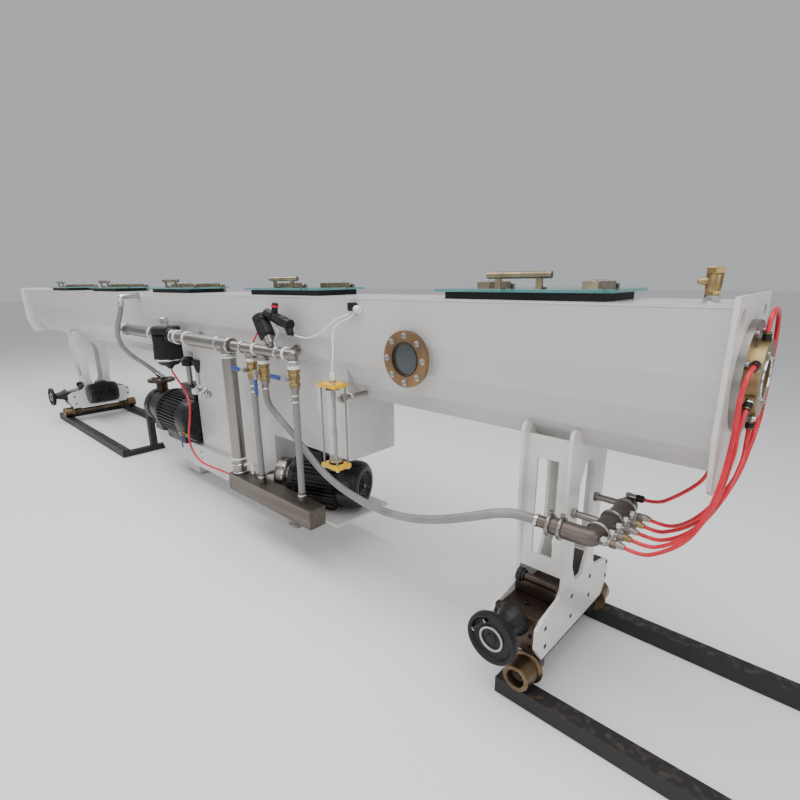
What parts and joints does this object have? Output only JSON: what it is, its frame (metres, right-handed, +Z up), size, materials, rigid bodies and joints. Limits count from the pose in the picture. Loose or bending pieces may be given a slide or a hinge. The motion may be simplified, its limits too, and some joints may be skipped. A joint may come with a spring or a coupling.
{
  "type": "vacuum sizing and spray-cooling tank for plastic pipe extrusion",
  "caption": "Long vacuum sizing tank with glass lids, brass inlet calibrator, water and vacuum pumps, on wheeled legs over floor rails.",
  "frame": {"origin": "on the floor, at the middle of the footprint, free hoses left out", "axes": "+X along the pipe towards the inlet end, -Y the operator side, +Z up"},
  "size_m": [7.138, 0.6514, 1.1835],
  "materials": {
    "black_paint": "black, semi matt",
    "black_plastic": "moulded",
    "black_rubber": "matt",
    "black_steel": "matt black",
    "blue_grip": "dipped vinyl grip",
    "box_paint": "semi gloss grey enamel",
    "brass": "satin",
    "bronzed_steel": "brown gun-metal, satin",
    "clear_hose": "clear braided",
    "glass": "clear, green edge",
    "lid_metal": "satin",
    "plate_paint": "semi gloss off-white enamel",
    "red_tube": "glossy tube",
    "stainless": "brushed",
    "tank_paint": "semi gloss light grey enamel",
    "white_cable": "white sheath",
    "yellow_plate": "yellow",
    "yellow_zinc": "passivated, satin"
  },
  "bodies": {
    "root": {"floor_rails": "black_steel"},
    "carriage": {"ball_valve_bodies": "brass", "base_tray": "box_paint", "calibrator_ring": "brass", "clear_supply_hose": "clear_hose", "clear_vacuum_hose": "clear_hose", "drop_hoses": "clear_hose", "gauge_cable": "white_cable", "gauge_frame": "yellow_plate", "gauge_tube": "glass", "hose_manifold": "stainless", "inlet_adapter_ring": "stainless", "inlet_end_plate": "plate_paint", "inlet_leg": "plate_paint", "inlet_lift_block": "bronzed_steel", "lid_gaskets": "black_rubber", "lid_hinge_brackets": "stainless", "main_pipe": "stainless", "outlet_end_plate": "plate_paint", "outlet_leg": "plate_paint", "outlet_lift_block": "bronzed_steel", "outlet_seal_disc": "black_rubber", "pump_head": "stainless", "pump_motor": "black_paint", "red_drain_hose": "red_tube", "red_hose_1": "red_tube", "red_hose_2": "red_tube", "red_hose_3": "red_tube", "red_hose_4": "red_tube", "red_hose_5": "red_tube", "red_hose_6": "red_tube", "solenoid_cable": "white_cable", "solenoids_and_clip": "black_plastic", "square_manifold": "stainless", "strainer": "black_plastic", "tank_deck": "tank_paint", "tank_fittings": "brass", "tank_trough": "tank_paint", "travel_motor": "black_paint", "vacuum_pump": "black_paint", "water_box": "box_paint", "window_glass": "glass", "window_ring": "yellow_zinc"},
    "inlet_wheelset": {"inlet_wheelset": "bronzed_steel"},
    "outlet_wheelset": {"outlet_wheelset": "bronzed_steel"},
    "inlet_handwheel": {"inlet_handwheel": "black_plastic"},
    "outlet_handwheel": {"outlet_handwheel": "black_plastic"},
    "valve_lever_1": {"valve_lever_1": "blue_grip"},
    "valve_lever_2": {"valve_lever_2": "blue_grip"},
    "valve_lever_3": {"valve_lever_3": "blue_grip"},
    "lid_1": {"lid_glass_1": "glass", "lid_fittings_1": "lid_metal"},
    "lid_2": {"lid_glass_2": "glass", "lid_fittings_2": "lid_metal"},
    "lid_3": {"lid_glass_3": "glass", "lid_fittings_3": "lid_metal"},
    "lid_4": {"lid_glass_4": "glass", "lid_fittings_4": "lid_metal"},
    "lid_5": {"lid_glass_5": "glass", "lid_fittings_5": "lid_metal"}
  },
  "joints": [
    {"name": "tank_travel", "type": "slide", "parent": "root", "child": "carriage", "axis": [1, 0, 0], "range_m": [0, 0.8]},
    {"name": "inlet_wheels_roll", "type": "hinge", "parent": "carriage", "child": "inlet_wheelset", "pos_m": [2.076, 0.03325, 0.09], "axis": [0, 1, 0], "range_deg": [0, 1146.5]},
    {"name": "inlet_handwheel_turn", "type": "hinge", "parent": "carriage", "child": "inlet_handwheel", "pos_m": [2.031, -0.30675, 0.235], "axis": [0, 1, 0], "continuous": true},
    {"name": "outlet_wheels_roll", "type": "hinge", "parent": "carriage", "child": "outlet_wheelset", "pos_m": [-2.304, 0.03325, 0.09], "axis": [0, 1, 0], "range_deg": [0, 1146.5]},
    {"name": "outlet_handwheel_turn", "type": "hinge", "parent": "carriage", "child": "outlet_handwheel", "pos_m": [-2.349, -0.30675, 0.235], "axis": [0, 1, 0], "continuous": true},
    {"name": "valve_1_turn", "type": "hinge", "parent": "carriage", "child": "valve_lever_1", "pos_m": [0.747, -0.23675, 0.8085], "axis": [0, 1, 0], "range_deg": [-90, 0]},
    {"name": "valve_2_turn", "type": "hinge", "parent": "carriage", "child": "valve_lever_2", "pos_m": [0.838, -0.23675, 0.8085], "axis": [0, 1, 0], "range_deg": [-90, 0]},
    {"name": "valve_3_turn", "type": "hinge", "parent": "carriage", "child": "valve_lever_3", "pos_m": [1.046, -0.23675, 0.8085], "axis": [0, 1, 0], "range_deg": [-90, 0]},
    {"name": "lid_1_open", "type": "hinge", "parent": "carriage", "child": "lid_1", "pos_m": [1.904, 0.16725, 1.1398], "axis": [-1, 0, 0], "range_deg": [0, 100]},
    {"name": "lid_2_open", "type": "hinge", "parent": "carriage", "child": "lid_2", "pos_m": [0.81, 0.16725, 1.1398], "axis": [-1, 0, 0], "range_deg": [0, 100]},
    {"name": "lid_3_open", "type": "hinge", "parent": "carriage", "child": "lid_3", "pos_m": [-0.284, 0.16725, 1.1398], "axis": [-1, 0, 0], "range_deg": [0, 100]},
    {"name": "lid_4_open", "type": "hinge", "parent": "carriage", "child": "lid_4", "pos_m": [-1.378, 0.16725, 1.1398], "axis": [-1, 0, 0], "range_deg": [0, 100]},
    {"name": "lid_5_open", "type": "hinge", "parent": "carriage", "child": "lid_5", "pos_m": [-2.472, 0.16725, 1.1398], "axis": [-1, 0, 0], "range_deg": [0, 100]}
  ],
  "couplings": [
    {"joint": "inlet_wheels_roll", "follows": "tank_travel", "rad_per_m": 25},
    {"joint": "outlet_wheels_roll", "follows": "tank_travel", "rad_per_m": 25}
  ]
}
